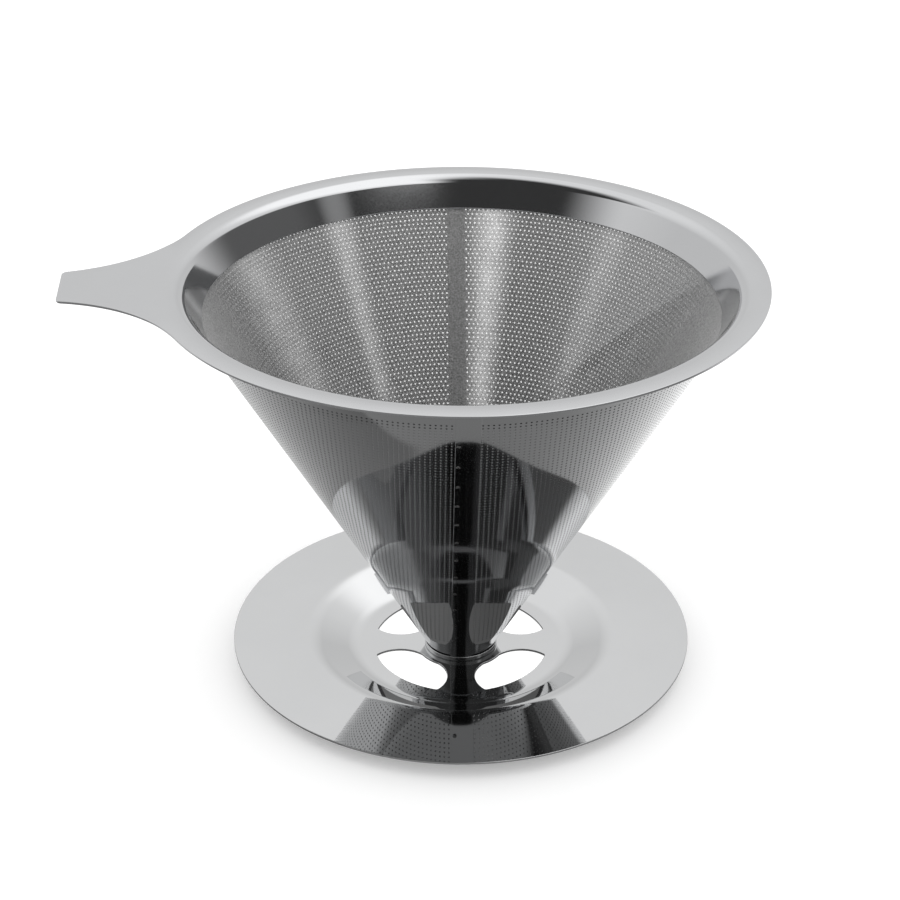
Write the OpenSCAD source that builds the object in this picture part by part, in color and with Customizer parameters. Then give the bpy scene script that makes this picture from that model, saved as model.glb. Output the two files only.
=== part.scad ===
// Stainless steel pour-over dripper: a double-walled filter cone on a mug stand.
// Millimetres, +Z up. Origin: centre of the underside of the stand's floor, where
// the dripper rests. The handle points along -X, turned slightly towards -Y.

/* [Rim ring] */
// Outside diameter of the flat rim
rim_d = 125; // [120:0.5:130]
// Height of the rim's top face above the resting face
overall_h = 89.4; // [85:0.1:95]
// Thickness of the rim's sheet
rim_t = 0.5; // [0.4:0.05:0.6]
// Radius of the rounded edge between the flat rim and the collar
rim_bend_r = 3; // [2:0.1:4]
// Height of the collar's lower hem above the resting face
hem_z = 83.0; // [81:0.1:84]

/* [Handle] */
// Distance from the cone's axis to the handle's tip
handle_reach = 81.25; // [76:0.25:90]
// Direction of the handle, anticlockwise from +X
handle_angle = 184; // [170:1:190]
// Radius of the concave blend between the handle and the rim
handle_blend_r = 33; // [25:0.5:40]
// Distance along the handle from the axis to the centres of the blends
handle_blend_x = 86.8; // [85:0.1:88]
// Radius of the corners at the handle's tip
handle_corner_r = 1.4; // [0.5:0.1:3]

/* [Filter cone] */
// Angle between the cone's wall and its axis
half_angle = 29.75; // [28:0.25:31]
// Radius of the cone's outer face, carried down to the stand's floor
foot_r = 7.0; // [6.5:0.1:7.5]
// Thickness of the perforated outer sheet
shell_t = 0.2; // [0.15:0.05:0.3]
// Thickness of the woven inner layer
mesh_t = 0.2; // [0.1:0.05:0.3]
// Clearance between the layers
layer_gap = 0.05; // [0.02:0.01:0.1]
// Height of the outer sheet's top edge
shell_top_z = 87.2; // [86:0.1:88]
// Height of the woven layer's top edge
mesh_top_z = 86; // [85:0.1:86.5]

/* [Seam] */
// Direction of the lap seam's centre line, anticlockwise from +X
seam_angle = 271.1; // [265:0.1:275]
// Width of the lap
lap_w = 4.8; // [3:0.1:6]
// Radius of a spot weld
seam_weld_r = 0.45; // [0.3:0.05:0.6]
// Height that a spot weld stands proud
seam_weld_h = 0.1; // [0.05:0.01:0.2]
// Distance from the lap's edge to the row of spot welds
seam_weld_inset = 0.65; // [0.5:0.05:1]
// Distance between spot welds along the seam
seam_weld_pitch = 7.2; // [5:0.1:10]
// Number of spot welds
seam_weld_count = 12; // [6:1:12]

/* [Tip] */
// Thickness of the pan and the cap at the cone's tip
tip_t = 0.3; // [0.2:0.05:0.4]
// Outside radius of the pan
pan_r = 8.0; // [7.9:0.05:8.5]
// Height of the pan
pan_h = 1.1; // [1:0.05:1.15]
// Height of the cap's upper edge above the resting face
cap_top_z = 7; // [4:0.5:10]
// Radius of a weld nugget at the hub
hub_weld_r = 1.1; // [0.8:0.1:1.5]
// Radius of the circle on which the nuggets lie
hub_weld_ring_r = 3.6; // [3:0.1:4.5]
// Number of nuggets
hub_weld_count = 3; // [3:1:4]

/* [Stand] */
// Outside diameter of the stand's brim
brim_d = 100.4; // [98:0.2:104]
// Thickness of the stand's sheet
stand_t = 0.5; // [0.4:0.05:0.6]
// Depth of the recess below the brim
recess_depth = 4; // [3:0.1:5]
// Radius at which the brim's flat ends
shoulder_r = 34; // [32:0.1:35]
// Radius at which the floor's flat ends
floor_r = 22.2; // [22:0.1:24]
// Inside radius of both bends in the recess's wall
stand_bend_r = 7; // [3:0.1:7.5]
// Radius of the hub that the openings leave
hub_r = 9.8; // [9:0.1:10.5]
// Outside radius of the openings
opening_r = 19.3; // [18:0.1:20]
// Radius of the round ends of the openings
opening_end_r = 7.2; // [6.5:0.1:7.5]
// Distance from the spoke's centre line to the centre of a round end
opening_end_x = 10.2; // [10:0.1:11]
// Distance of that centre along the spoke
opening_end_y = 13.4; // [12.5:0.1:14]
// Rounding of the openings' sharp corners
opening_corner_r = 0.6; // [0.3:0.1:1]

/* [Hidden] */

$fn = 96;
bend_steps = 12;
blend_steps = 24;
rim_r = rim_d / 2;
brim_r = brim_d / 2;
brim_top = stand_t + recess_depth;

// Depths below the cone's outer face, measured square to the wall
mesh_depth = shell_t + layer_gap;
lining_depth = mesh_depth + mesh_t + layer_gap;
collar_depth = lining_depth + rim_t;

// Centre of the rim's bend: it touches the rim's top face and the collar's inner face
rim_bend_z = overall_h - rim_bend_r;
rim_bend_x = foot_r + (rim_bend_z - stand_t) * tan(half_angle)
    + (rim_bend_r - collar_depth) / cos(half_angle);

// Slope of the recess's wall, from the tangent shared by its two bends
bends = 2 * stand_bend_r + stand_t;
recess_w = shoulder_r - floor_r;
wall_slope = asin(bends / norm([recess_w, bends - recess_depth]))
    - atan2(bends - recess_depth, recess_w);

// Points on an arc about c from angle a0 to a1
function arc(c, r, a0, a1, steps) =
    [for (i = [0:steps]) c + r * [cos(a0 + (a1 - a0) * i / steps), sin(a0 + (a1 - a0) * i / steps)]];

// Distance along the wall from the foot to height z, on the face at depth d
function slant(z, d) = (z - stand_t - d * sin(half_angle)) / cos(half_angle);

// Point on the wall's section: s along the slant, d below the outer face
function wall(s, d) = [
    foot_r + s * sin(half_angle) - d * cos(half_angle),
    stand_t + s * cos(half_angle) + d * sin(half_angle)];

// A layer of the cone between two heights, with square-cut edges
module cone_layer(z0, z1, d0, d1) {
    s0 = slant(z0, d0);
    s1 = slant(z1, d0);
    rotate_extrude()
        polygon([wall(s0, d0), wall(s1, d0), wall(s1, d1), wall(s0, d1)]);
}

// Outline of the handle, from its tip to the rim, pointing along +X
module handle_outline() {
    blend_y = sqrt(pow(rim_r + handle_blend_r, 2) - pow(handle_blend_x, 2));
    corner_x = handle_reach - handle_corner_r;
    corner_y = blend_y - sqrt(pow(handle_blend_r + handle_corner_r, 2)
        - pow(handle_blend_x - corner_x, 2));
    corner_a = atan2(blend_y - corner_y, handle_blend_x - corner_x);
    rim_a = atan2(blend_y, handle_blend_x);
    blend = arc([handle_blend_x, blend_y], handle_blend_r, 180 + corner_a, 180 + rim_a, blend_steps);
    corner = arc([corner_x, corner_y], handle_corner_r, 0, corner_a, bend_steps);
    half = concat(corner, blend, [[rim_bend_x + 1, 0]]);
    mirrored = [for (i = [len(half) - 2:-1:0]) [half[i][0], -half[i][1]]];
    polygon(concat(half, mirrored));
}

// Flat rim, collar and handle, pressed from one sheet
module rim_ring() color("gainsboro") {
    collar_a = 180 - half_angle;
    hem_s = slant(hem_z, collar_depth);
    bend_c = [rim_bend_x, rim_bend_z];
    hem_c = wall(hem_s, collar_depth - rim_t / 2);
    rotate_extrude()
        polygon(concat(
            [[rim_r, overall_h]],
            arc(bend_c, rim_bend_r, 90, collar_a, bend_steps),
            arc(hem_c, rim_t / 2, collar_a, 360 - half_angle, bend_steps),
            arc(bend_c, rim_bend_r - rim_t, collar_a, 90, bend_steps),
            [[rim_r, overall_h - rim_t]]));
    rotate([0, 0, handle_angle])
        translate([0, 0, overall_h - rim_t])
            linear_extrude(rim_t)
                handle_outline();
}

// Perforated outer sheet, rolled into a cone and lapped along one seam
module outer_cone() color("silver") {
    low = stand_t + tip_t + layer_gap;
    cone_layer(low, shell_top_z, 0, shell_t);
    intersection() {
        cone_layer(stand_t + pan_h + layer_gap, shell_top_z - shell_t, -shell_t, shell_t / 2);
        rotate([0, 0, seam_angle])
            translate([0, -lap_w / 2, 0])
                cube([rim_r, lap_w, overall_h]);
    }
}

// Woven layer that lines the outer sheet
module inner_mesh() color("darkgray")
    cone_layer(stand_t + tip_t + 2 * layer_gap + tip_t, mesh_top_z, mesh_depth, mesh_depth + mesh_t);

// Spot welds along the lap's edge, each a low button
module seam_welds() color("whitesmoke") {
    edge = lap_w / 2 - seam_weld_inset;
    for (i = [0:seam_weld_count - 1])
        rotate([0, 0, seam_angle])
            translate([0, -edge, 0])
                translate(weld_foot(i))
                    rotate([0, 90 + half_angle, 0])
                        cylinder(r1 = seam_weld_r, r2 = 0.6 * seam_weld_r, h = seam_weld_h, $fn = 12);
}

// Place of a spot weld on the lap's outer face
function weld_foot(i) =
    let (p = wall(9 + i * seam_weld_pitch, -shell_t)) [p[0], 0, p[1]];

// Pressed cap inside the tip, which holds the woven layer against the outer sheet
module tip_cap() color("silver") {
    floor_z = stand_t + tip_t + layer_gap;
    cap_r = wall(slant(floor_z, lining_depth), lining_depth)[0];
    difference() {
        union() {
            cone_layer(floor_z, cap_top_z, lining_depth, lining_depth + tip_t);
            translate([0, 0, floor_z])
                cylinder(r = cap_r - tip_t / 4, h = tip_t);
        }
        hub_nuggets();
    }
}

// Shallow pan in which the cone stands
module tip_pan() color("silver")
    difference() {
        translate([0, 0, stand_t])
            cylinder(r = pan_r, h = pan_h);
        translate([0, 0, stand_t + tip_t])
            cylinder(r = pan_r - tip_t, h = pan_h);
        hub_nuggets();
    }

// Weld nuggets through the cap, the pan and the stand's hub
module hub_nuggets()
    for (i = [0:hub_weld_count - 1])
        rotate([0, 0, 90 + i * 360 / hub_weld_count])
            translate([hub_weld_ring_r, 0, 0])
                cylinder(r = hub_weld_r, h = stand_t + 2 * tip_t + layer_gap);

module hub_welds() color("whitesmoke") hub_nuggets();

// Outline of one opening in the stand's floor
module opening_outline()
    offset(r = opening_corner_r, $fn = 32)
        offset(delta = -opening_corner_r)
            intersection() {
                hull() {
                    translate([opening_end_x, opening_end_y]) circle(opening_end_r, $fn = 48);
                    translate([opening_end_y, opening_end_x]) circle(opening_end_r, $fn = 48);
                }
                difference() {
                    circle(opening_r);
                    circle(hub_r);
                }
            }

// Pressed stand: a brim for the mug's rim and a recessed floor with four openings
module base_plate() color("gainsboro") {
    shoulder_c = [shoulder_r, brim_top - stand_bend_r - stand_t];
    floor_c = [floor_r, stand_t + stand_bend_r];
    difference() {
        rotate_extrude()
            polygon(concat(
                [[0, 0], [0, stand_t]],
                arc(floor_c, stand_bend_r, 270, 270 + wall_slope, bend_steps),
                arc(shoulder_c, stand_bend_r + stand_t, 90 + wall_slope, 90, bend_steps),
                [[brim_r, brim_top], [brim_r, brim_top - stand_t]],
                arc(shoulder_c, stand_bend_r, 90, 90 + wall_slope, bend_steps),
                arc(floor_c, stand_bend_r + stand_t, 270 + wall_slope, 270, bend_steps)));
        for (a = [0:90:270])
            rotate([0, 0, a])
                translate([0, 0, -1])
                    linear_extrude(stand_t + 2)
                        opening_outline();
        hub_nuggets();
    }
}

rim_ring();
outer_cone();
inner_mesh();
tip_cap();
tip_pan();
base_plate();
seam_welds();
hub_welds();
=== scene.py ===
"""Looks for a stainless pour-over dripper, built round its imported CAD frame. +Z is up.

Builder functions work in millimetres and add_mesh() turns them into metres.
"""
import math

import bpy
import numpy as np
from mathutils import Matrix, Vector
from mathutils.geometry import tessellate_polygon


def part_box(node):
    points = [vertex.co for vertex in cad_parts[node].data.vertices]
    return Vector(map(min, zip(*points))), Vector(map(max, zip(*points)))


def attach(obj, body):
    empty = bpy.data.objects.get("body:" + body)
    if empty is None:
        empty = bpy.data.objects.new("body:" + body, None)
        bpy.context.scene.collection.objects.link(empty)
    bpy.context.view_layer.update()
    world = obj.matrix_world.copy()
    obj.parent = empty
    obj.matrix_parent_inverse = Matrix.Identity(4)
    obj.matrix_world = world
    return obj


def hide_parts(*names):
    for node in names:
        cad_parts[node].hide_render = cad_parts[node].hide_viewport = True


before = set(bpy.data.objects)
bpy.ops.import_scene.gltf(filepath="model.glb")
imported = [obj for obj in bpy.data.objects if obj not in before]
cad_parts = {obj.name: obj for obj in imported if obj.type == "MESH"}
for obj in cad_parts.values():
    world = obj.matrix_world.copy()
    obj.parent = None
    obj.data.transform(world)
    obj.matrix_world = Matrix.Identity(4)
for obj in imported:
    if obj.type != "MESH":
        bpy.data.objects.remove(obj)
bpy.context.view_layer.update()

MM = 0.001
BODY = "root"


def box_mm(node):
    """Lowest and highest corner of a CAD node, in millimetres."""
    low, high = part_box(node)
    return np.array(low) / MM, np.array(high) / MM


# Sizes read from the CAD frame
rim_low, rim_high = box_mm("rim_ring")
shell_low, shell_high = box_mm("outer_cone")
mesh_low, mesh_high = box_mm("inner_mesh")
cap_low, cap_high = box_mm("tip_cap")
pan_high = box_mm("tip_pan")[1]
stand_high = box_mm("base_plate")[1]

QUARTER = math.pi / 2

# Filter cone: its wall is measured by the slant distance from the foot and the depth below the outer face
HALF_ANGLE = math.radians(29.75)
SIN_A = math.sin(HALF_ANGLE)
COS_A = math.cos(HALF_ANGLE)
FOOT_R = 7.0
SHELL_T = 0.2
MESH_T = 0.2
LAYER_GAP = 0.05
TIP_T = 0.3
MESH_DEPTH = SHELL_T + LAYER_GAP
LINING_DEPTH = MESH_DEPTH + MESH_T + LAYER_GAP

# Rim, collar and handle
RIM_R = rim_high[0]
RIM_TOP = rim_high[2]
RIM_T = 0.5
RIM_BEND_R = 3.0
HEM_Z = rim_low[2] + RIM_T / 2 * (1 + SIN_A)
COLLAR_DEPTH = LINING_DEPTH + RIM_T
HANDLE_ANGLE = math.radians(184)
HANDLE_REACH = 81.25
HANDLE_BLEND_R = 33.0
HANDLE_BLEND_X = 86.8
HANDLE_CORNER_R = 1.4

# The flat rim is crowned: it tilts by this much at its outer edge and where the bend begins, and the
# crown fades out over this distance as the rim runs into the handle
CROWN = math.radians(6)
CROWN_FADE = 2.0

# Perforation: level rows of holes, evenly spaced between the two columns that border the lap seam
HOLE_R = 0.205
HOLE_PITCH = 1.0
ROW_PITCH = 1.0
TOP_ROW_Z = 83.1
LOW_ROW_Z = 7.5
SEAM_ANGLE = math.radians(271.1)
SEAM_LEFT = 3.05
SEAM_RIGHT = 2.6
BACK_GAP_LEFT = 2.4
BACK_GAP_RIGHT = 1.9
BRIDGE = 0.12
HOLES_PER_BAND = 4000
SHEET_EDGE_R = 0.05

# How far the sheet leans further out along the seam, how far round that reaches (as 1 - cosine), and the
# slant distances where it starts and is full
SEAM_PULL = math.radians(1.9)
SEAM_PULL_SPREAD = 0.022
SEAM_PULL_FROM, SEAM_PULL_TO = 50.0, 80.0

# Lap seam
LAP_W = 4.8
LAP_EDGE_R = 0.08
SEAM_WELDS = 12
SEAM_WELD_R = 0.45
SEAM_WELD_H = 0.1
SEAM_WELD_INSET = 0.65
SEAM_WELD_FIRST = 9.0
SEAM_WELD_PITCH = 7.2

# Weld nuggets at the hub
HUB_WELDS = 3
HUB_WELD_R = 1.1
HUB_WELD_H = 0.05
HUB_WELD_RING_R = 3.6

# Section of a weld spot's dome: how tall against its height, and how much of that is left flat
DOME_RISE = 1.6
DOME_FLAT = 0.55
DOME_RINGS = 6
DOME_STEPS = 24
DOME_SUNK = 0.05

# Tip cap and pan
TIP_EDGE_R = TIP_T / 2 - 0.01
CAP_BEND_R = 0.35
CAP_FILLET_R = 0.2
PAN_BEND_R = 0.3
PAN_FILLET_R = 0.15

# Stand
STAND_T = 0.5
BRIM_R = stand_high[0]
BRIM_TOP = stand_high[2]
SHOULDER_R = 34.0
FLOOR_R = 22.2
STAND_BEND_R = 7.0
DISC_R = 21.0
HUB_R = 9.8
OPENING_R = 19.3
OPENING_END_R = 7.2
OPENING_END = (10.2, 13.4)
OPENING_CORNER_R = 0.6
EDGE_R = 0.12

# Woven lining: open share seen from inside and outside, and stripes of painted glint in its colour (angle,
# half width, strength)
INSIDE_OPEN = 0.5
OUTSIDE_OPEN = 0.3
LINING_PAINTED_GLINTS = ((150, 13, 0.55), (121, 6, 0.6), (82, 8, 1.0), (50, 7, 0.4))
WIRE_PITCH = 0.11

# Depths of fine relief in the materials, in metres
SCRATCH_DEPTH = 0.00000004
WIRE_RELIEF = 0.00001
WELD_RELIEF = 0.00002

# Studio: strength of the even light that falls on the floor, the floor's half width and its painted glow for
# the camera, which lifts its shade in the openings and beyond them
ROOM_LIGHT = 1.25
FLOOR_HALF = 4.0
FLOOR_GLOW = (0.7, 0.2)

# The room as the steel shows it: the sky's tones low and high and its extra glow high on the right, the unlit
# side's tones, what the left and the right add to them, a strip of light low in front, and one lamp
SKY_TONES = (0.76, 1.05)
SKY_GLOW = 0.42
UNLIT_ONCE = 0.044
UNLIT_TWICE = 0.079
LEFT_TONE = 0.17
RIGHT_TONE = 0.09
LOW_STRIP = 0.25
LAMP = (0.742, -0.405, 0.53)
LAMP_EDGE = math.cos(math.radians(9))
LAMP_TONE = 0.3

# Camera: place in metres, how far it looks down, and its lens on a sensor 36 mm wide
CAMERA = (-0.0024, -0.3930, 0.2603)
LOOK_DOWN = math.radians(28.26)
LENS = 84.04


# ---------------------------------------------------------------- meshes

def add_mesh(name, points, faces, normals, material, nodes, uv=None):
    """A smooth piece from points in mm, in arrays of any shape. faces is a list of n x 3 or n x 4 arrays."""
    points = np.reshape(points, (-1, 3))
    corners = np.concatenate([f.ravel() for f in faces]).astype(np.int32)
    sizes = np.concatenate([np.full(len(f), f.shape[1]) for f in faces])
    starts = np.concatenate([[0], np.cumsum(sizes)[:-1]]).astype(np.int32)
    mesh = bpy.data.meshes.new(name)
    mesh.vertices.add(len(points))
    mesh.vertices.foreach_set("co", (points * MM).astype(np.float32).ravel())
    mesh.loops.add(len(corners))
    mesh.loops.foreach_set("vertex_index", corners)
    mesh.polygons.add(len(sizes))
    mesh.polygons.foreach_set("loop_start", starts)
    mesh.update(calc_edges=True)
    if uv is not None:
        layer = mesh.uv_layers.new(name="developed")
        layer.data.foreach_set("uv", np.reshape(uv, (-1, 2)).astype(np.float32)[corners].ravel())
    mesh.shade_smooth()
    mesh.normals_split_custom_set_from_vertices(np.reshape(normals, (-1, 3)).astype(np.float32))
    mesh.materials.append(material)
    piece = bpy.data.objects.new(name, mesh)
    bpy.context.scene.collection.objects.link(piece)
    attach(piece, BODY)
    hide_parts(*nodes)


class Profile:
    """A section curve made of tangent arcs, as points (radius, height) with their outward normals."""

    def __init__(self):
        self.points = []
        self.normals = []

    def arc(self, centre, radius, start, end, steps, hollow=False):
        """Adds an arc, angles in radians. hollow turns the normals towards its centre."""
        for i in range(steps + 1):
            a = start + (end - start) * i / steps
            way = (math.cos(a), math.sin(a))
            self.points.append((centre[0] + radius * way[0], centre[1] + radius * way[1]))
            self.normals.append((-way[0], -way[1]) if hollow else way)
        return self

    def point(self, radius, height, normal):
        self.points.append((radius, height))
        self.normals.append(normal)
        return self


def polar(radius, angle, z):
    """Points, or directions, at an angle round the axis, for numbers or arrays."""
    return np.stack([radius * np.cos(angle), radius * np.sin(angle), z + 0 * angle], -1)


def revolve(profile, angles):
    """Points and normals of a profile turned to each of the angles: arrays of ring x angle x 3."""
    p, n = np.array(profile.points), np.array(profile.normals)
    return polar(p[:, :1], angles, p[:, 1:]), polar(n[:, :1], angles, n[:, 1:])


def grid_faces(rings, around, closed_rings=False, closed_around=True):
    """Quads of a grid of rings. Their order faces out when rings run down an outside face."""
    i = np.arange(rings if closed_rings else rings - 1)[:, None]
    j = np.arange(around if closed_around else around - 1)[None, :]
    i1 = (i + 1) % rings
    j1 = (j + 1) % around
    quads = np.stack([i * around + j, i1 * around + j, i1 * around + j1, i * around + j1], -1)
    return quads.reshape(-1, 4)


def full_turn(steps):
    """Angles evenly spaced round a circle."""
    return np.arange(steps) * 2 * math.pi / steps


def without_repeats(profile):
    """Points and normals of a profile, leaving out points that fall on the one before."""
    points, normals = np.array(profile.points), np.array(profile.normals)
    keep = np.concatenate([[True], np.hypot(*np.diff(points, axis=0).T) > 1e-6])
    return points[keep], normals[keep]


def wall(s, depth):
    """(radius, height) on the cone's wall, s along the slant and depth below the outer face."""
    return (FOOT_R + s * SIN_A - depth * COS_A, STAND_T + s * COS_A + depth * SIN_A)


def slant(z, depth):
    """Slant distance at height z on the face at that depth."""
    return (z - STAND_T - depth * SIN_A) / COS_A


def sheet_profile(z_low, z_high, depth_out, depth_in, edge):
    """Closed section of a conical layer with rounded edges, from the outer face's top downwards."""
    s_low, s_high = slant(z_low, depth_out), slant(z_high, depth_out)
    out = -HALF_ANGLE
    profile = Profile()
    profile.arc(wall(s_high - edge, depth_out + edge), edge, out + QUARTER, out, 3)
    profile.arc(wall(s_low + edge, depth_out + edge), edge, out, out - QUARTER, 3)
    profile.arc(wall(s_low + edge, depth_in - edge), edge, out - QUARTER, out - 2 * QUARTER, 3)
    profile.arc(wall(s_high - edge, depth_in - edge), edge, out - 2 * QUARTER, out - 3 * QUARTER, 3)
    return profile


def add_turned_disc(name, profile, steps, material, nodes):
    """Revolves an open profile that starts and ends on the axis, closing it with one point at each end."""
    points, normals = revolve(profile, full_turn(steps))
    rings = points.shape[0]
    grid = grid_faces(rings - 2, steps) + 1
    ring = np.arange(steps)
    following = (ring + 1) % steps
    last = 1 + (rings - 2) * steps
    first_fan = np.stack([np.zeros(steps, int), 1 + ring, 1 + following], -1)
    base = 1 + (rings - 3) * steps
    last_fan = np.stack([base + ring, np.full(steps, last), base + following], -1)
    points = np.concatenate([points[0, :1], points[1:-1].reshape(-1, 3), points[-1, :1]])
    normals = np.concatenate([normals[0, :1], normals[1:-1].reshape(-1, 3), normals[-1, :1]])
    add_mesh(name, points, [grid, first_fan, last_fan], normals, material, nodes)


def add_revolved(name, profile, steps, material, nodes):
    """Revolves a closed profile."""
    points, normals = revolve(profile, full_turn(steps))
    faces = grid_faces(*points.shape[:2], closed_rings=True)
    add_mesh(name, points, [faces], normals, material, nodes)


# ---------------------------------------------------------------- rim

def rim_outline():
    """Outline of the rim with its handle, anticlockwise: points and outward normals, pointing along +X."""
    blend_y = math.sqrt((RIM_R + HANDLE_BLEND_R) ** 2 - HANDLE_BLEND_X ** 2)
    corner_x = HANDLE_REACH - HANDLE_CORNER_R
    across = HANDLE_BLEND_X - corner_x
    corner_y = blend_y - math.sqrt((HANDLE_BLEND_R + HANDLE_CORNER_R) ** 2 - across ** 2)
    corner_a = math.atan2(blend_y - corner_y, across)
    rim_a = math.atan2(blend_y, HANDLE_BLEND_X)
    half = Profile()
    half.arc((corner_x, corner_y), HANDLE_CORNER_R, 0, corner_a, 10)
    half.arc((HANDLE_BLEND_X, blend_y), HANDLE_BLEND_R, math.pi + corner_a, math.pi + rim_a, 48, hollow=True)
    half.arc((0, 0), RIM_R, rim_a, math.pi, 300)
    points, normals = without_repeats(half)
    mirror = np.array([1, -1])
    tip = np.array([[HANDLE_REACH, 0.0]])
    points = np.concatenate([tip, points, (points * mirror)[-2::-1]])
    normals = np.concatenate([[[1.0, 0.0]], normals, (normals * mirror)[-2::-1]])
    return points, normals


def turned(xy, angle):
    """Flat points or normals turned about the axis."""
    c, s = math.cos(angle), math.sin(angle)
    return xy @ np.array([[c, s], [-s, c]])


def edge_rings(outline, outward, top, bottom, edge, steps=4):
    """Rings round a sheet's rounded edge, from its top face to its bottom face."""
    points, normals = [], []
    for level, a0, a1 in ((top - edge, QUARTER, 0), (bottom + edge, 0, -QUARTER)):
        for i in range(steps + 1):
            a = a0 + (a1 - a0) * i / steps
            xy = outline + outward * edge * (math.cos(a) - 1)
            z = np.full((len(xy), 1), level + edge * math.sin(a))
            points.append(np.hstack([xy, z]))
            normals.append(np.hstack([outward * math.cos(a), np.full((len(xy), 1), math.sin(a))]))
    return np.array(points), np.array(normals)


def crown_weight(outline):
    """1 where the rim is a plain ring and 0 on the handle, for each point of the outline."""
    past = np.clip((np.hypot(outline[:, 0], outline[:, 1]) - RIM_R) / CROWN_FADE, 0, 1)
    return 1 - past ** 2 * (3 - 2 * past)


def crowned(points, normals, weight, middle_r, crown_r):
    """Lowers and tilts the flat outside the rim's middle line, as an arc of radius crown_r."""
    radius = np.hypot(points[..., 0], points[..., 1])
    way = points[..., :2] / radius[..., None]
    past = np.clip(radius - middle_r, 0, RIM_R - middle_r) * weight
    points[..., 2] -= past ** 2 / (2 * crown_r)
    normals[..., :2] += way * (normals[..., 2] * past / crown_r)[..., None]
    normals /= np.linalg.norm(normals, axis=-1)[..., None]


def rim_section():
    """Section of the rim from its middle line down the collar and back, and its middle and crown radius."""
    bend_z = RIM_TOP - RIM_BEND_R
    bend_x = FOOT_R + (bend_z - STAND_T) * SIN_A / COS_A + (RIM_BEND_R - COLLAR_DEPTH) / COS_A
    middle_r = (RIM_R + bend_x) / 2
    crown_r = (RIM_R - middle_r) / math.sin(CROWN)
    crown = (middle_r, RIM_TOP - crown_r)
    bend = (middle_r - (crown_r - RIM_BEND_R) * math.sin(CROWN),
            RIM_TOP - crown_r + (crown_r - RIM_BEND_R) * math.cos(CROWN))
    hem = wall(slant(HEM_Z, COLLAR_DEPTH), COLLAR_DEPTH - RIM_T / 2)
    flat_a, collar_a = QUARTER + CROWN, math.pi - HALF_ANGLE
    section = Profile()
    section.arc(crown, crown_r, QUARTER, flat_a, 5)
    section.arc(bend, RIM_BEND_R, flat_a, collar_a, 24)
    section.arc(hem, RIM_T / 2, collar_a, collar_a + math.pi, 10)
    section.arc(bend, RIM_BEND_R - RIM_T, collar_a, flat_a, 16, hollow=True)
    section.arc(crown, crown_r - RIM_T, flat_a, QUARTER, 5, hollow=True)
    return section, middle_r, crown_r


def flat_rings(inner, edge, up):
    """Rings between the section's end and the rounded edge, on the level of the edge."""
    share = np.linspace(1, 0, 6)[1:-1][:, None, None]
    rings = inner + (edge - inner) * share
    rings[..., 2] = edge[0, 2]
    facing = np.zeros_like(rings)
    facing[..., 2] = up
    return rings, facing


def build_rim(material):
    """Flat rim with handle, rounded edge, collar and hem: one pressed sheet."""
    outline, outward = rim_outline()
    outline, outward = turned(outline, HANDLE_ANGLE), turned(outward, HANDLE_ANGLE)
    section, middle_r, crown_r = rim_section()
    inner_points, inner_normals = revolve(section, np.arctan2(outline[:, 1], outline[:, 0]))
    edge_points, edge_normals = edge_rings(outline, outward, RIM_TOP, RIM_TOP - RIM_T, EDGE_R)
    top, top_normals = flat_rings(inner_points[0], edge_points[0], 1)
    under, under_normals = flat_rings(inner_points[-1], edge_points[-1], -1)
    outer_points = np.concatenate([top[::-1], edge_points, under])
    outer_normals = np.concatenate([top_normals[::-1], edge_normals, under_normals])
    crowned(outer_points, outer_normals, crown_weight(outline)[None, :], middle_r, crown_r)
    points = np.concatenate([outer_points, inner_points[::-1]])
    normals = np.concatenate([outer_normals, inner_normals[::-1]])
    faces = grid_faces(*points.shape[:2], closed_rings=True)
    add_mesh("rim_ring_pressed", points, [faces], normals, material, ["rim_ring"])


# ---------------------------------------------------------------- cone

def cone_points(s, angle, depth):
    """Points on the wall for arrays of slant distance and angle."""
    radius, z = wall(s, depth)
    return polar(radius, angle, z)


def cone_normals(angle, s=0.0):
    """Normals of the outer face. Welding has drawn the sheet slightly inwards along the seam's upper part."""
    away = np.cos(angle - SEAM_ANGLE)
    share = np.clip((s - SEAM_PULL_FROM) / (SEAM_PULL_TO - SEAM_PULL_FROM), 0, 1)
    lean = HALF_ANGLE + SEAM_PULL * np.exp((away - 1) / SEAM_PULL_SPREAD) * share
    return polar(np.cos(lean), angle, -np.sin(lean))


def row_layout(s):
    """Hole angles in the row at slant s, which of them are punched, and the angles between cells."""
    radius = wall(s, 0)[0]
    start = SEAM_ANGLE + SEAM_RIGHT / radius
    span = 2 * math.pi - (SEAM_LEFT + SEAM_RIGHT) / radius
    count = round(span * radius / HOLE_PITCH)
    step = span / count
    holes = start + step * np.arange(count + 1)
    from_back = (start + span / 2 - holes) / step
    punched = (from_back <= -BACK_GAP_LEFT) | (from_back >= BACK_GAP_RIGHT)
    edges = start + step * (np.arange(count + 2) - 0.5)
    gap = 2 * math.pi - step * (count + 1)
    plain = max(3, round(gap * radius / HOLE_PITCH))
    edges = np.concatenate([edges, edges[-1] + gap * np.arange(1, plain) / plain])
    return holes, punched, edges


def zip_rings(low, high):
    """Triangles between two closed rings of angles: triples of (ring, index), ring 0 low and 1 high."""
    i = j = 0
    triangles = []
    n, m = len(low), len(high)
    next_low = np.append(low[1:], low[0] + 2 * math.pi)
    next_high = np.append(high[1:], high[0] + 2 * math.pi)
    while i < n or j < m:
        if j >= m or (i < n and next_low[i] <= next_high[j]):
            triangles.append((i % n, (i + 1) % n, n + j % m))
            i += 1
        else:
            triangles.append((i % n, n + (j + 1) % m, n + j % m))
            j += 1
    return np.array(triangles)


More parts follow.
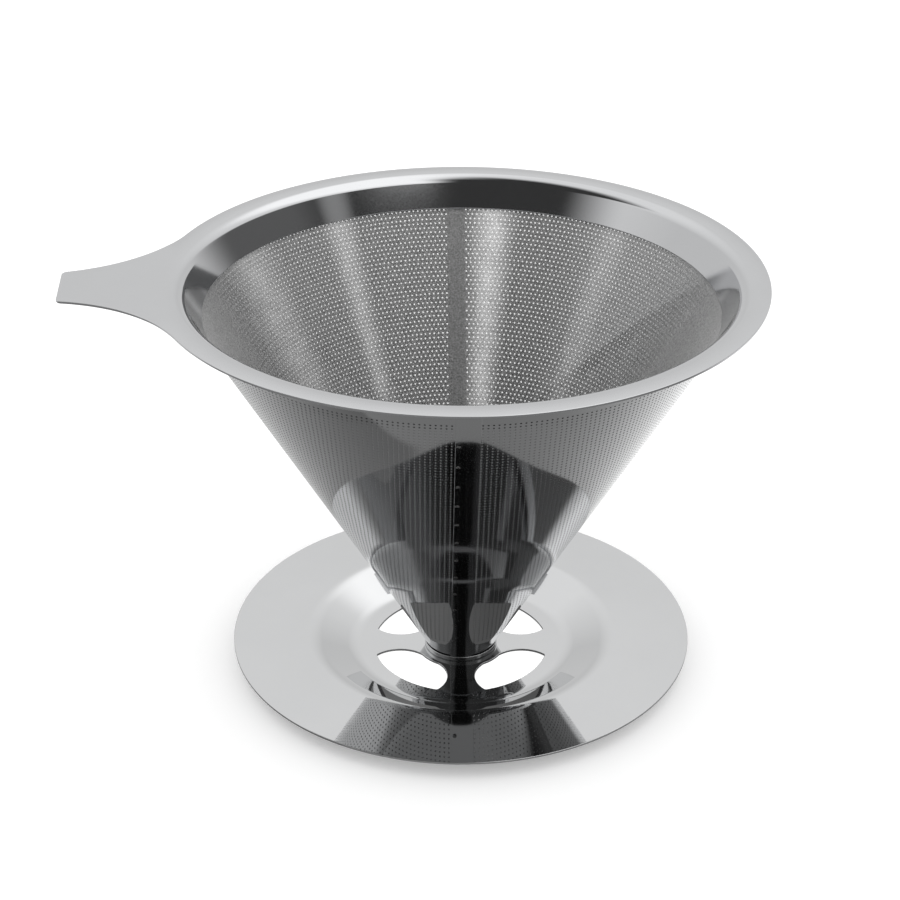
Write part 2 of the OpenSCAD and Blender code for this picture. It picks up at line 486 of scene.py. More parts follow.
# A hole's corners, and how they join the four corners of the cell round it (0 to 3; the hole's are 4 to 11)
OCTAGON = math.pi / 8 + np.arange(8) * math.pi / 4
CELL_QUADS = np.array([[0, 1, 10, 9], [1, 2, 4, 11], [2, 3, 6, 5], [3, 0, 8, 7]])
CELL_TRIANGLES = np.array([[0, 9, 8], [1, 11, 10], [2, 5, 4], [3, 7, 6]])


def hole_rings(s, holes):
    """Slant and angle of the eight corners of each hole."""
    corner_s = s + HOLE_R * np.sin(OCTAGON)[None, :] + 0 * holes[:, None]
    corner_a = holes[:, None] + HOLE_R * np.cos(OCTAGON)[None, :] / wall(s, 0)[0]
    return corner_s, corner_a


def cell_corners(low, high, j, n):
    """The four corners of cells j between the rings that start at low and high."""
    return [low + j, low + (j + 1) % n, high + (j + 1) % n, high + j]


class SheetBand:
    """Collects the rows of one band of perforated sheet."""

    def __init__(self):
        self.points, self.normals, self.quads, self.triangles = [], [], [], []
        self.count = 0
        self.holes = 0
        self.last = None

    def add(self, points, normals):
        """Adds points and returns the index of the first."""
        start = self.count
        self.points.append(points.reshape(-1, 3))
        self.normals.append(normals.reshape(-1, 3))
        self.count += self.points[-1].shape[0]
        return start

    def ring(self, s, edges):
        """Indices where an outer and an inner ring at slant s start."""
        outer = self.add(cone_points(s, edges, 0), cone_normals(edges, s))
        inner = self.add(cone_points(s, edges, SHELL_T), -cone_normals(edges, s))
        return outer, inner

    def row(self, s):
        """One row of holes with its cells, joined to the row below."""
        holes, punched, edges = row_layout(s)
        n = len(edges)
        half = (ROW_PITCH - BRIDGE) / 2
        low = self.ring(s - half, edges)
        high = self.ring(s + half, edges)
        if self.last is None:
            self.close(low, n, False)
        else:
            self.bridge(self.last, (low, edges))
        cells = np.arange(n)
        plain = np.ones(n, bool)
        plain[:len(holes)][punched] = False
        for side in (0, 1):
            j = cells[plain]
            quad = np.stack(cell_corners(low[side], high[side], j, n), -1)
            self.quads.append(quad if side == 0 else quad[:, ::-1])
        self.punch(s, holes[punched], cells[:len(holes)][punched], low, high, n)
        self.last = (high, edges)

    def punch(self, s, holes, j, low, high, n):
        """The sheet round each hole of a row, in cells j, and the hole's wall."""
        corner_s, corner_a = hole_rings(s, holes)
        inward = -np.cos(OCTAGON)[:, None] * polar(1.0, corner_a + QUARTER, 0.0)
        inward -= np.sin(OCTAGON)[:, None] * polar(SIN_A, corner_a, COS_A)
        rims = []
        for side, depth in ((0, 0.0), (1, SHELL_T)):
            points = cone_points(corner_s, corner_a, depth)
            facing = cone_normals(corner_a, corner_s) * (1 if side == 0 else -1)
            ring = self.add(points, facing) + 8 * np.arange(len(holes))
            corners = cell_corners(low[side], high[side], j, n)
            index = np.stack(corners + [ring + k for k in range(8)], -1)
            quads = index[:, CELL_QUADS].reshape(-1, 4)
            triangles = index[:, CELL_TRIANGLES].reshape(-1, 3)
            self.quads.append(quads if side == 0 else quads[:, ::-1])
            self.triangles.append(triangles if side == 0 else triangles[:, ::-1])
            rims.append(self.add(points, inward) + 8 * np.arange(len(holes))[:, None])
        k = np.arange(8)[None, :]
        k1 = (k + 1) % 8
        self.quads.append(np.stack([rims[0] + k, rims[0] + k1, rims[1] + k1, rims[1] + k], -1).reshape(-1, 4))
        self.holes += len(holes)

    def bridge(self, below, above):
        """Joins the top of one row to the bottom of the next, whose cells are spaced differently."""
        triangles = zip_rings(below[1], above[1])
        n = len(below[1])
        for side in (0, 1):
            index = np.where(triangles < n, below[0][side] + triangles, above[0][side] + triangles - n)
            self.triangles.append(index if side == 0 else index[:, ::-1])

    def close(self, ring, n, top):
        """Joins the outer and inner faces at the band's end."""
        j = np.arange(n)
        quad = np.stack(cell_corners(*ring, j, n), -1)
        self.quads.append(quad if top else quad[:, ::-1])

    def finish(self, name, material):
        """Closes the band's top and makes it a piece."""
        self.close(self.last[0], len(self.last[1]), True)
        faces = [np.concatenate(self.quads), np.concatenate(self.triangles)]
        add_mesh(name, np.concatenate(self.points), faces, np.concatenate(self.normals),
                 material, ["outer_cone"])


def build_perforated_sheet(material):
    """The outer cone: plain margins at both ends, and bands of punched rows between them."""
    top_s, low_s = slant(TOP_ROW_Z, 0), slant(LOW_ROW_Z, 0)
    rows = round((top_s - low_s) / ROW_PITCH) + 1
    half = (ROW_PITCH - BRIDGE) / 2
    band, bands = SheetBand(), 1
    for k in range(rows):
        band.row(top_s - (rows - 1 - k) * ROW_PITCH)
        if band.holes > HOLES_PER_BAND and k < rows - 1:
            # the bridge to the next band belongs to the upper one, so this band ends flush with it
            band.finish(f"perforated_band_{bands}", material)
            joint = band.last
            band, bands = SheetBand(), bands + 1
            low = band.ring(top_s - (rows - 1 - k) * ROW_PITCH + half, joint[1])
            band.close(low, len(joint[1]), False)
            band.last = (low, joint[1])
    band.finish(f"perforated_band_{bands}", material)
    punched_top = wall(top_s + half, 0)[1]
    punched_low = wall(top_s - (rows - 1) * ROW_PITCH - half, 0)[1]
    top = sheet_profile(punched_top, shell_high[2], 0, SHELL_T, SHEET_EDGE_R)
    low = sheet_profile(shell_low[2], punched_low, 0, SHELL_T, SHEET_EDGE_R)
    add_revolved("cone_top_margin", top, 720, material, ["outer_cone"])
    add_revolved("cone_foot_margin", low, 180, material, ["outer_cone"])


def lap_section():
    """Section across the lap: distances from its middle line and heights over the sheet, and normals."""
    half = LAP_W / 2
    inset = half - LAP_EDGE_R
    across = Profile()
    across.arc((inset, SHELL_T - LAP_EDGE_R), LAP_EDGE_R, 0, QUARTER, 3)
    for i in range(1, 8):
        across.point(inset - 2 * inset * i / 8, SHELL_T, (0, 1))
    across.arc((-inset, SHELL_T - LAP_EDGE_R), LAP_EDGE_R, QUARTER, 2 * QUARTER, 3)
    across.point(-half, 0.0, (-1, 0))
    across.point(half, 0.0, (1, 0))
    return np.array(across.points), np.array(across.normals)


def build_lap(material):
    """The lap seam's upper layer: a plain strip down the front, curved to the cone."""
    across, across_normals = lap_section()
    stations = np.linspace(slant(pan_high[2] + LAYER_GAP, 0), slant(shell_high[2] - SHELL_T, 0), 60)
    points, normals = [], []
    for s in stations:
        radius, z = wall(s, 0)
        angle = SEAM_ANGLE + np.arcsin(across[:, 0] / radius)
        points.append(polar(radius + across[:, 1] * COS_A, angle, z - across[:, 1] * SIN_A))
        side = polar(1.0, angle + QUARTER, 0.0)
        normals.append(across_normals[:, :1] * side + across_normals[:, 1:] * cone_normals(angle, s))
    n = len(across)
    ring = np.arange(n)
    fan = np.stack([np.full(n - 2, 0), ring[1:-1], ring[2:]], -1)
    faces = [grid_faces(len(stations), n), fan[:, ::-1], fan + (len(stations) - 1) * n]
    add_mesh("lap_seam", np.concatenate(points), faces, np.concatenate(normals),
             material, ["outer_cone"])


def build_weave(material):
    """The woven lining, with the flat pattern's coordinates in millimetres as its UV map."""
    profile = sheet_profile(mesh_low[2], mesh_high[2], MESH_DEPTH, MESH_DEPTH + MESH_T, MESH_T / 3)
    steps = 256
    angles = SEAM_ANGLE + np.arange(steps + 1) * 2 * math.pi / steps
    points, normals = revolve(profile, angles)
    rings = points.shape[0]
    reach = np.hypot(points[..., 0], points[..., 1]) / SIN_A
    turn = (angles - SEAM_ANGLE)[None, :] * SIN_A
    uv = np.stack([reach * np.cos(turn), reach * np.sin(turn)], -1)
    faces = grid_faces(rings, steps + 1, closed_rings=True, closed_around=False)
    add_mesh("woven_lining", points, [faces], normals, material, ["inner_mesh"], uv)


# ---------------------------------------------------------------- tip and welds

def build_tip_cap(material):
    """Pressed cap inside the tip: a conical skirt with a rounded corner to its floor."""
    floor_z = cap_low[2]
    top_z = floor_z + TIP_T
    d_out, d_in = LINING_DEPTH, LINING_DEPTH + TIP_T
    top_s = slant(cap_high[2], d_out)
    out = -HALF_ANGLE
    corner_r = wall(slant(floor_z, d_out), d_out)[0] - CAP_BEND_R * math.tan((QUARTER + out) / 2)
    inner_r = wall(slant(top_z, d_in), d_in)[0]
    profile = Profile()
    profile.point(0.0, top_z, (0, 1))
    profile.arc((inner_r - 0.15, top_z + CAP_FILLET_R), CAP_FILLET_R, -QUARTER, out, 4, hollow=True)
    profile.arc(wall(top_s - TIP_EDGE_R, (d_out + d_in) / 2), TIP_EDGE_R, out + 2 * QUARTER, out, 8)
    profile.arc((corner_r, floor_z + CAP_BEND_R), CAP_BEND_R, out, -QUARTER, 5)
    profile.point(0.0, floor_z, (0, -1))
    add_turned_disc("tip_cap_pressed", profile, 144, material, ["tip_cap"])


def build_tip_pan(material):
    """Shallow pan that the cone stands in."""
    radius, top = pan_high[0], pan_high[2]
    fillet = (radius - TIP_T - PAN_FILLET_R, STAND_T + TIP_T + PAN_FILLET_R)
    profile = Profile()
    profile.point(0.0, STAND_T + TIP_T, (0, 1))
    profile.arc(fillet, PAN_FILLET_R, -QUARTER, 0, 4, hollow=True)
    profile.arc((radius - TIP_T / 2, top - TIP_EDGE_R), TIP_EDGE_R, 2 * QUARTER, 0, 8)
    profile.arc((radius - PAN_BEND_R, STAND_T + PAN_BEND_R), PAN_BEND_R, 0, -QUARTER, 5)
    profile.point(0.0, STAND_T, (0, -1))
    add_turned_disc("tip_pan_pressed", profile, 180, material, ["tip_pan"])


def dome_points(centre, axis, radius, height):
    """A weld spot on the plane square to axis: its top, its rings and its middle underneath."""
    side = np.cross(axis, [0.3, 0.5, 0.8])
    side /= np.linalg.norm(side)
    other = np.cross(axis, side)
    angles = full_turn(DOME_STEPS)
    ways = np.cos(angles)[:, None] * side + np.sin(angles)[:, None] * other
    tall, rest = height * DOME_RISE, 1 - DOME_FLAT
    points, normals = [(centre + axis * tall * DOME_FLAT)[None, :]], [axis[None, :]]
    for i in range(1, DOME_RINGS + 1):
        t = i / DOME_RINGS
        fullness = DOME_FLAT + rest * t ** 2
        lift = tall * (1 - t ** 2) * fullness
        slope = tall * (-2 * t * fullness + (1 - t ** 2) * 2 * rest * t) / radius
        points.append(centre + axis * lift + ways * radius * t)
        normal = axis - ways * slope
        normals.append(normal / np.linalg.norm(normal, axis=1)[:, None])
    points.append((centre - axis * DOME_SUNK)[None, :])
    normals.append(-axis[None, :])
    return np.concatenate(points), np.concatenate(normals)


def build_spots(name, places, radius, height, material, nodes):
    """Weld spots on a sheet, each with a base set into the sheet."""
    ring = np.arange(DOME_STEPS)
    following = (ring + 1) % DOME_STEPS
    bottom = 1 + DOME_RINGS * DOME_STEPS
    lowest = bottom - DOME_STEPS
    fans = [np.stack([0 * ring, 1 + ring, 1 + following], -1),
            np.stack([lowest + ring, 0 * ring + bottom, lowest + following], -1)]
    grid = grid_faces(DOME_RINGS, DOME_STEPS) + 1
    points, normals, faces = [], [], []
    for k, (centre, axis) in enumerate(places):
        spot_points, spot_normals = dome_points(centre, axis, radius, height)
        points.append(spot_points)
        normals.append(spot_normals)
        faces += [part + k * (bottom + 1) for part in (grid, *fans)]
    add_mesh(name, np.concatenate(points), faces, np.concatenate(normals), material, nodes)


def seam_weld_places():
    """Centre and axis of each spot down the lap seam."""
    edge = LAP_W / 2 - SEAM_WELD_INSET
    places = []
    for i in range(SEAM_WELDS):
        radius, z = wall(SEAM_WELD_FIRST + i * SEAM_WELD_PITCH, -SHELL_T)
        angle = SEAM_ANGLE - math.asin(edge / radius)
        places.append((polar(radius, angle, z), polar(COS_A, angle, -SIN_A)))
    return places


def hub_weld_places():
    """Centre and axis of each weld nugget on the cap's floor."""
    centres = polar(HUB_WELD_RING_R, QUARTER + full_turn(HUB_WELDS), cap_low[2] + TIP_T)
    return [(centre, np.array([0.0, 0.0, 1.0])) for centre in centres]


# ---------------------------------------------------------------- stand

def circles_meet(c0, r0, c1, r1, side):
    """Where two circles cross, on the side that is left (1) or right (-1) of the way from c0 to c1."""
    c0, c1 = np.array(c0, float), np.array(c1, float)
    d = np.linalg.norm(c1 - c0)
    along = (d * d + r0 * r0 - r1 * r1) / (2 * d)
    off = math.sqrt(r0 * r0 - along * along)
    way = (c1 - c0) / d
    return c0 + way * along + side * off * np.array([-way[1], way[0]])


def heading(start, end):
    """Angle of the way from one point to another."""
    return math.atan2(end[1] - start[1], end[0] - start[0])


def opening_outline():
    """Outline of the opening in the first quadrant, clockwise, with normals that point into it."""
    a = np.array(OPENING_END)
    r, c = OPENING_END_R, OPENING_CORNER_R
    outer = circles_meet((0, 0), OPENING_R - c, a, r - c, 1)
    inner = circles_meet((0, 0), HUB_R + c, a, r - c, 1)
    middle = math.pi / 4
    half = Profile()
    half.arc((0, 0), OPENING_R, middle, heading((0, 0), outer), 16, hollow=True)
    half.arc(outer, c, heading((0, 0), outer), heading(a, outer), 6, hollow=True)
    start, end = heading(a, outer), heading(a, inner) % (2 * math.pi)
    half.arc(a, r, start, end, 28, hollow=True)
    half.arc(inner, c, end, heading(inner, (0, 0)) % (2 * math.pi), 6, hollow=True)
    half.arc((0, 0), HUB_R, heading((0, 0), inner), middle, 14)
    points, normals = without_repeats(half)
    points = np.concatenate([points, points[-2:0:-1, ::-1]])
    normals = np.concatenate([normals, normals[-2:0:-1, ::-1]])
    return points[::-1], normals[::-1]


def flat_fill(points, loops, up):
    """Triangles that fill a flat region between an outer loop and the loops of its holes."""
    index = np.concatenate(loops)
    made = tessellate_polygon([[Vector(points[i]) for i in loop] for loop in loops])
    triangles = index[np.array(made)]
    a, b, c = (points[triangles[:, k]][:, :2] for k in range(3))
    turn = (b[:, 0] - a[:, 0]) * (c[:, 1] - a[:, 1]) - (b[:, 1] - a[:, 1]) * (c[:, 0] - a[:, 0])
    triangles = triangles[np.abs(turn) > 1e-9]
    turn = turn[np.abs(turn) > 1e-9]
    wrong = (turn > 0) != up
    triangles[wrong] = triangles[wrong][:, ::-1]
    return triangles


def stand_section():
    """Section of the stand from the top of its floor out round the brim's edge and back underneath."""
    bends = 2 * STAND_BEND_R + STAND_T
    recess_w = SHOULDER_R - FLOOR_R
    rise = bends - (BRIM_TOP - STAND_T)
    slope = math.asin(bends / math.hypot(recess_w, rise)) - math.atan2(rise, recess_w)
    shoulder = (SHOULDER_R, BRIM_TOP - STAND_BEND_R - STAND_T)
    floor = (FLOOR_R, STAND_T + STAND_BEND_R)
    section = Profile()
    section.point(DISC_R, STAND_T, (0, 1))
    section.arc(floor, STAND_BEND_R, 3 * QUARTER, 3 * QUARTER + slope, 16, hollow=True)
    section.arc(shoulder, STAND_BEND_R + STAND_T, QUARTER + slope, QUARTER, 16)
    section.arc((BRIM_R - EDGE_R, BRIM_TOP - EDGE_R), EDGE_R, QUARTER, 0, 4)
    section.arc((BRIM_R - EDGE_R, BRIM_TOP - STAND_T + EDGE_R), EDGE_R, 0, -QUARTER, 4)
    section.arc(shoulder, STAND_BEND_R, QUARTER, QUARTER + slope, 16, hollow=True)
    section.arc(floor, STAND_BEND_R + STAND_T, 3 * QUARTER + slope, 3 * QUARTER, 16)
    section.point(DISC_R, 0.0, (0, -1))
    return section


def build_stand(material):
    """The pressed stand: recessed floor with four openings, sloping wall, and brim."""
    steps = 720
    grids = [revolve(stand_section(), full_turn(steps))]
    outline, into = opening_outline()
    for q in range(4):
        rim, way = turned(outline, q * QUARTER), turned(into, q * QUARTER)
        grids.append(edge_rings(rim, way, STAND_T, 0.0, EDGE_R))
    faces, top_loops, low_loops = [], [], []
    count = 0
    for points, _ in grids:
        rings, around = points.shape[:2]
        faces.append(grid_faces(rings, around) + count)
        top_loops.append(count + np.arange(around))
        low_loops.append(count + (rings - 1) * around + np.arange(around))
        count += rings * around
    points = np.concatenate([p.reshape(-1, 3) for p, _ in grids])
    normals = np.concatenate([n.reshape(-1, 3) for _, n in grids])
    for loops, up in ((top_loops, True), (low_loops, False)):
        faces.append(flat_fill(points, loops, up))
    add_mesh("stand_pressed", points, faces, normals, material, ["base_plate"])


# ---------------------------------------------------------------- materials

class Graph:
    """Short calls for building a node tree. Values can be numbers or other nodes' outputs."""

    def __init__(self, tree):
        self.tree = tree

    def node(self, kind, inputs=None, **settings):
        made = self.tree.nodes.new(kind)
        for key, value in settings.items():
            setattr(made, key, value)
        for key, value in (inputs or {}).items():
            self.plug(value, made.inputs[key])
        return made

    def plug(self, value, socket):
        if isinstance(value, bpy.types.NodeSocket):
            self.tree.links.new(value, socket)
        else:
            socket.default_value = value

    def math(self, operation, a, b=0.0, c=0.0):
        return self.node("ShaderNodeMath", {0: a, 1: b, 2: c}, operation=operation).outputs[0]

    def times(self, a, b):
        return self.math("MULTIPLY", a, b)

    def plus(self, a, b):
        return self.math("ADD", a, b)

    def minus(self, a, b):
        return self.math("SUBTRACT", a, b)

    def line(self, value, slope, start):
        """value times slope, plus start."""
        return self.math("MULTIPLY_ADD", value, slope, start)

    def scale(self, value, low, high, to_low, to_high, **settings):
        """Maps low to high onto to_low to to_high, and stays there beyond them."""
        made = self.node("ShaderNodeMapRange", {"Value": value, "From Min": low, "From Max": high,
                                                "To Min": to_low, "To Max": to_high}, **settings)
        return made.outputs["Result"]

    def smooth(self, value, low, high, to_low=0.0, to_high=1.0):
        """scale with a soft start and end."""
        return self.scale(value, low, high, to_low, to_high, interpolation_type="SMOOTHSTEP")

    def mix(self, share, a, b):
        """a where share is 0 and b where it is 1."""
        return self.node("ShaderNodeMix", {"Factor": share, 2: a, 3: b}, data_type="FLOAT").outputs[0]

    def dot(self, a, b):
        return self.node("ShaderNodeVectorMath", {0: a, 1: b}, operation="DOT_PRODUCT").outputs["Value"]

    def parts(self, vector):
        """The x, y and z outputs of a vector."""
        return self.node("ShaderNodeSeparateXYZ", {0: vector}).outputs

    def place(self):
        return self.node("ShaderNodeTexCoord").outputs["Object"]

    def bump(self, height, strength):
        """A normal for relief whose height is in metres."""
        made = self.node("ShaderNodeBump", {"Height": height, "Strength": strength, "Distance": 1.0})
        return made.outputs[0]

    def surface(self, inputs):
        """The output of a Principled shader with these inputs."""
        return self.node("ShaderNodeBsdfPrincipled", inputs).outputs[0]

    def grey(self, tone):
        return self.node("ShaderNodeCombineColor", {0: tone, 1: tone, 2: tone}).outputs[0]

    def noise(self, where, scale, detail=3.0, rough=0.5):
        made = self.node("ShaderNodeTexNoise", {"Vector": where, "Scale": scale, "Detail": detail,
                                                "Roughness": rough})
        return made.outputs["Fac"]

    def spread(self, fac, to_low, to_high):
        """Maps noise, which mostly lies between 0.3 and 0.7, onto to_low to to_high."""
        return self.scale(fac, 0.3, 0.7, to_low, to_high)


def new_material(name, build, *values):
    """A material whose surface is what build(graph, *values) returns."""
    material = bpy.data.materials.new(name)
    material.use_nodes = True
    tree = material.node_tree
    tree.nodes.clear()
    out = tree.nodes.new("ShaderNodeOutputMaterial")
    tree.links.new(build(Graph(tree), *values), out.inputs["Surface"])
    return material


def polished_steel(graph, tint, roughness, ripple, haze):
    """Polished stainless sheet: faint waviness from pressing, fine scratches and uneven polish."""
    where = graph.place()
    waves = graph.noise(where, 90.0, 1.0)
    grain = graph.noise(where, 2500.0, 2.0)
    smudge = graph.noise(where, 45.0, 4.0, 0.6)
    level = graph.spread(smudge, roughness, roughness + haze)
    level = graph.plus(level, graph.spread(grain, -0.01, 0.015))
    height = graph.plus(graph.times(waves, ripple), graph.times(grain, SCRATCH_DEPTH))
    colour = graph.node("ShaderNodeMix", {"Factor": graph.spread(smudge, 0.97, 1.0),
                                          6: (0.0, 0.0, 0.0, 1.0), 7: (*tint, 1.0)}, data_type="RGBA")
    return graph.surface({"Base Color": colour.outputs[2], "Metallic": 1.0, "Roughness": level,
                          "Normal": graph.bump(height, 1.0)})


def painted_glint(graph, angle, centre, width, strength):
    """A painted highlight: a soft bright stripe running up the lining at one angle round the axis."""
    apart = graph.math("ABSOLUTE", graph.minus(angle, math.radians(centre)))
    return graph.smooth(apart, math.radians(width), 0.0, 0.0, strength)


def lining_painted_shine(graph, where):
    """All the lining's painted glints together, a little patchy."""
    x, y, _ = graph.parts(where)
    angle = graph.math("ARCTAN2", y, x)
    painted_shine = 0.0
    for stripe in LINING_PAINTED_GLINTS:
        painted_shine = graph.plus(painted_shine, painted_glint(graph, angle, *stripe))
    return graph.times(painted_shine, graph.spread(graph.noise(where, 300.0, 2.0), 0.8, 1.1))


def lining_pores(graph, face, inside, painted_shine):
    """The share of the cloth that is open: less at a slant and under the painted glint, all of it from
    behind.
    """
    pores = graph.line(inside, INSIDE_OPEN - OUTSIDE_OPEN, OUTSIDE_OPEN)
    square = graph.math("ABSOLUTE", graph.dot(face["Incoming"], face["True Normal"]))
    pores = graph.times(pores, graph.smooth(square, 0.0, 0.6))
    pores = graph.minus(pores, graph.times(painted_shine, 0.2))
    return graph.math("MAXIMUM", pores, face["Backfacing"])


def lining_bump(graph, grains):
    """Bump of the crossing wires, along the flat pattern's own directions."""
    flat = graph.parts(graph.node("ShaderNodeUVMap", uv_map="developed").outputs[0])
    wires = [graph.math("COSINE", graph.times(flat[axis], 2 * math.pi / WIRE_PITCH)) for axis in (0, 1)]
    height = graph.times(graph.plus(graph.plus(*wires), grains), WIRE_RELIEF)
    return graph.bump(height, 0.5)


def woven_steel(graph):
    """Fine wire cloth with painted glint stripes. Seen from inside most of it is open; from outside it looks
    closed and is painted dark, as painted shade between the layers.

    The back of each face lets everything through, so that a look through the cloth is dimmed only once.
    """
    where = graph.place()
    grains = graph.noise(where, 2600.0, 1.0)
    painted_shine = lining_painted_shine(graph, where)
    face = graph.node("ShaderNodeNewGeometry").outputs
    inside = graph.math("GREATER_THAN", graph.parts(face["True Normal"])[2], 0.0)
    # Painted shade: the outer face, between the perforated sheet and the cloth, is toned 0.08 against 0.48
    # inside.
    tone = graph.times(graph.line(inside, 0.40, 0.08), graph.spread(grains, 0.7, 1.3))
    # Painted highlight: the glint stripes are added to the base colour, and the inside turns more matt under
    # them.
    tone = graph.plus(tone, graph.times(painted_shine, 0.42))
    matt = graph.times(inside, graph.line(painted_shine, 0.3, 0.65))
    pores = lining_pores(graph, face, inside, painted_shine)
    return graph.surface({"Base Color": graph.grey(tone), "Metallic": graph.minus(1.0, matt),
                          "Roughness": 0.38, "Alpha": graph.minus(1.0, pores),
                          "Normal": lining_bump(graph, grains)})


def weld_steel(graph):
    """Fused spots: a little duller and rougher than the sheet."""
    grain = graph.noise(graph.place(), 4000.0)
    return graph.surface({"Base Color": graph.grey(graph.spread(grain, 0.16, 0.30)), "Metallic": 1.0,
                          "Roughness": graph.spread(grain, 0.18, 0.34),
                          "Normal": graph.bump(graph.times(grain, WELD_RELIEF), 0.7)})


# ---------------------------------------------------------------- studio
#
# The surroundings are drawn by direction: x to the right, z up, and front towards the camera's side.
# once is 1 for a first reflection, and deep is 1 for a reflection of a reflection.

def dark_on_left(graph, z, front, once):
    """1 inside the unlit side as met turning left, 0 in the light beyond, which starts sooner low down."""
    sooner = graph.times(graph.smooth(z, 0.64, 0.54, 0.0, 0.45), once)
    return graph.smooth(graph.minus(front, sooner), -0.3, 0.15)


def dark_on_right(graph, x, z, front, deep, once):
    """The same turning right. A first reflection also shows a long light above the unlit side there."""
    sooner = graph.times(graph.smooth(z, 0.35, 0.6, 0.0, 0.9), once)
    later = graph.times(graph.smooth(z, 0.25, 0.1, 0.0, 0.12), deep)
    reach = graph.plus(graph.minus(front, sooner), later)
    dark = graph.smooth(reach, graph.mix(deep, -0.85, -0.46), graph.mix(deep, -0.42, -0.32))
    height = graph.line(x, 0.1, z)
    above = graph.times(graph.smooth(height, 0.632, 0.672), graph.smooth(x, 0.0, 0.25))
    return graph.times(dark, graph.minus(1.0, graph.times(above, once)))


def unlit_share(graph, x, z, front, deep):
    """1 where the surroundings are unlit: mostly behind the camera, and on the right in a second mirror."""
    once = graph.minus(1.0, deep)
    left = dark_on_left(graph, z, front, once)
    right = dark_on_right(graph, x, z, front, deep, once)
    edge = graph.mix(graph.smooth(x, -0.2, 0.2), left, right)
    aside = graph.line(x, graph.smooth(z, 0.5, 0.68, 1.6, 0.8), front)
    aside = graph.times(graph.smooth(aside, -0.25, 0.1), graph.smooth(x, 0.0, 0.3))
    aside = graph.math("MAXIMUM", aside, graph.smooth(z, 0.82, 0.9))
    unlit = graph.math("MAXIMUM", edge, graph.times(aside, deep))
    low = graph.times(graph.smooth(front, 0.35, 0.6), graph.smooth(z, 0.46, 0.36))
    low = graph.times(low, once)
    return graph.times(unlit, graph.line(low, LOW_STRIP - 1.0, 1.0))


def unlit_tone(graph, way, x, z, front, deep):
    """What little light there is in the unlit side: least straight ahead, more on the left, and a lamp."""
    tone = graph.line(deep, UNLIT_TWICE - UNLIT_ONCE, UNLIT_ONCE)
    left = graph.line(front, -1.07, graph.times(x, -1.0))
    left = graph.times(graph.smooth(left, -0.4, 0.4), deep)
    tone = graph.line(left, LEFT_TONE, tone)
    sideways = graph.line(front, -0.2, graph.math("ABSOLUTE", x))
    ahead = graph.times(graph.smooth(sideways, 0.16, 0.0), deep)
    tone = graph.times(tone, graph.math("MAXIMUM", graph.minus(1.0, ahead), 0.12))
    tone = graph.plus(tone, graph.smooth(graph.dot(way, LAMP), LAMP_EDGE, 1.0, 0.0, LAMP_TONE))
    beside = graph.times(graph.smooth(x, 0.55, 0.85), graph.smooth(front, 0.45, 0.1))
    beside = graph.times(beside, graph.smooth(z, 0.62, 0.5))
    return graph.line(beside, RIGHT_TONE, tone)


def room_beyond(graph, way, deep):
    """How bright the surroundings look in the steel, in the direction way."""
    x, y, z = graph.parts(way)
    front = graph.times(y, -1.0)
    high = graph.times(graph.smooth(z, 0.6, 0.8), graph.smooth(x, -0.1, 0.1))
    sky = graph.line(high, SKY_GLOW, graph.scale(z, 0.3, 0.7, *SKY_TONES))
    unlit = unlit_share(graph, x, z, front, deep)
    return graph.mix(unlit, sky, unlit_tone(graph, way, x, z, front, deep))


def twice_mirrored(graph):
    """1 for light that has met at least two mirrors on its way, else 0."""
    return graph.math("GREATER_THAN", graph.node("ShaderNodeLightPath").outputs["Glossy Depth"], 1.5)


def build_world():
    """White surroundings, brightest high on the right, with an unlit side behind the camera."""
    world = bpy.data.worlds.new("studio")
    bpy.context.scene.world = world
    world.use_nodes = True
    tree = world.node_tree
    tree.nodes.clear()
    graph = Graph(tree)
    room = room_beyond(graph, graph.node("ShaderNodeTexCoord").outputs["Generated"], twice_mirrored(graph))
    mirrored = graph.node("ShaderNodeLightPath").outputs["Is Glossy Ray"]
    lit = graph.mix(mirrored, ROOM_LIGHT, room)
    background = graph.node("ShaderNodeBackground", {"Color": graph.grey(lit), "Strength": 1.0})
    out = graph.node("ShaderNodeOutputWorld")
    tree.links.new(background.outputs[0], out.inputs["Surface"])


def painted_floor_in_steel(graph, where):
    """What the steel mirrors of the floor, painted as light and shade: it darkens towards the unlit side,
    with a painted shadow on the left and painted shade under the stand.
    """
    x, y, _ = graph.parts(where)
    deep = twice_mirrored(graph)
    level = graph.smooth(y, -0.06, 0.08, 0.25, 1.15)
    # Painted shadow on the left part of the floor.
    behind = graph.plus(y, graph.line(x, 0.125, 0.0505))
    shadow = graph.times(graph.smooth(behind, -0.0008, 0.0008), graph.smooth(x, -0.016, -0.026))
    level = graph.times(level, graph.line(shadow, -0.4, 1.0))
    # Painted shade under the stand: the floor near the axis is darker.
    away = graph.math("SQRT", graph.line(x, x, graph.times(y, y)))
    under = graph.scale(x, -0.01, 0.01, 0.17, 0.11)
    under = graph.times(under, graph.line(deep, -0.6, 1.0))
    level = graph.mix(graph.smooth(away, 0.022, 0.06), under, level)
    far = graph.times(graph.smooth(x, 0.11, 0.2), deep)
    return graph.times(level, graph.line(far, -0.93, 1.0))


def floor_glow(graph, where):
    """Painted light: the floor glows towards white for the camera, most of all in the stand's openings,
    lifting the shade under the stand.
    """
    away = graph.node("ShaderNodeVectorMath", {0: where}, operation="LENGTH").outputs["Value"]
    seen = graph.node("ShaderNodeLightPath").outputs["Is Camera Ray"]
    return graph.times(seen, graph.smooth(away, 0.02, 0.026, *FLOOR_GLOW))


